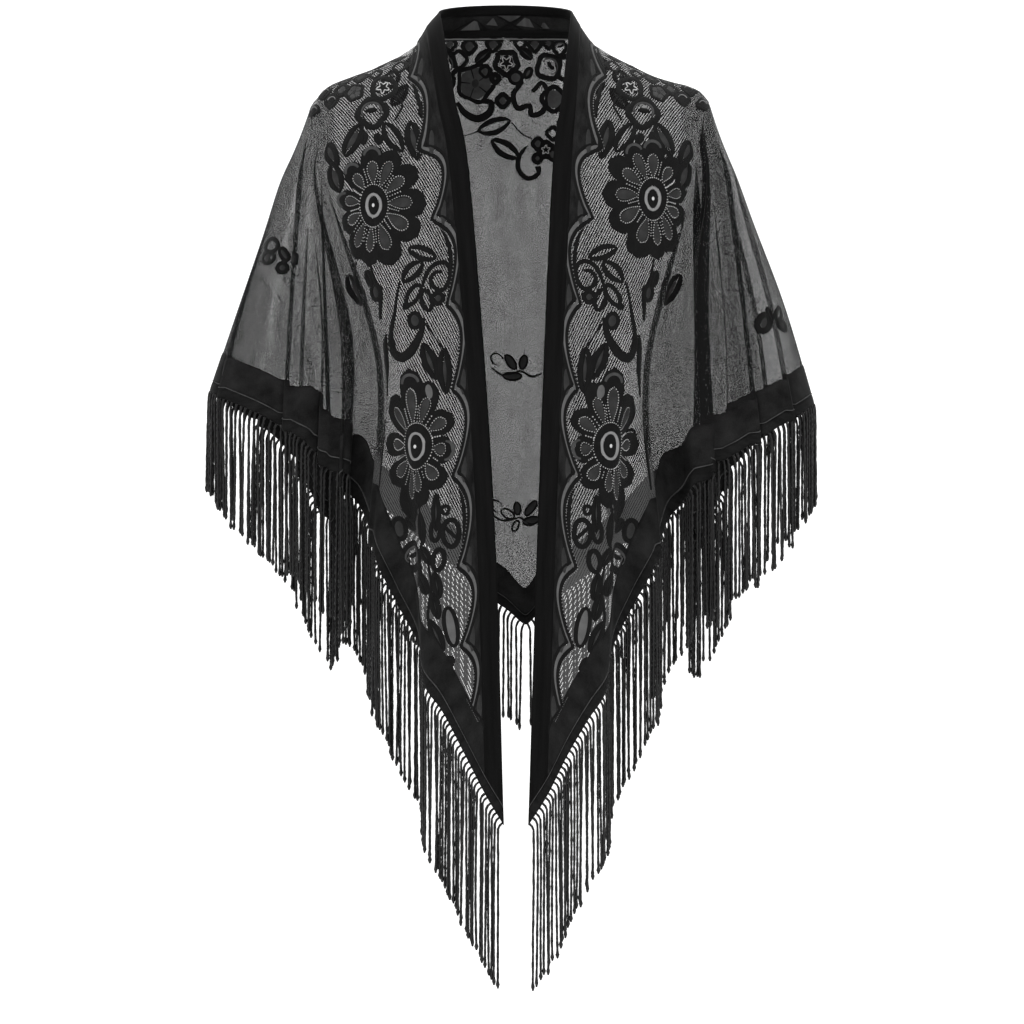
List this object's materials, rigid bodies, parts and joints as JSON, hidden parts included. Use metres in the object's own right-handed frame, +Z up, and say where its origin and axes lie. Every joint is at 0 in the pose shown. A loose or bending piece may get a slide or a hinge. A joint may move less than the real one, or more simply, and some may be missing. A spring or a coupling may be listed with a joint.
{
  "type": "lace shawl",
  "caption": "Black flower lace shawl with bound front edges, hem bands and a long knotted fringe, in its open-fronted worn form.",
  "frame": {"origin": "on the wearer's middle plane, at the height of the shoulders, below the shoulder line of the cloth", "axes": "+Z up, the fronts face -Y, +X to the right as seen from the front"},
  "size_m": [0.6112, 0.247, 0.9799],
  "materials": {
    "net": "matt",
    "band": "matt",
    "fringe": "soft sheen"
  },
  "bodies": {
    "root": {"lace_front_left": "net", "lace_front_right": "net", "lace_back": "net", "front_band_left": "band", "front_band_right": "band", "neck_band_back": "band", "hem_band_front_left": "band", "hem_band_front_right": "band", "hem_band_back_left": "band", "hem_band_back_right": "band", "fringe_front_left": "fringe", "fringe_front_right": "fringe", "fringe_back_left": "fringe", "fringe_back_right": "fringe"}
  },
  "joints": []
}
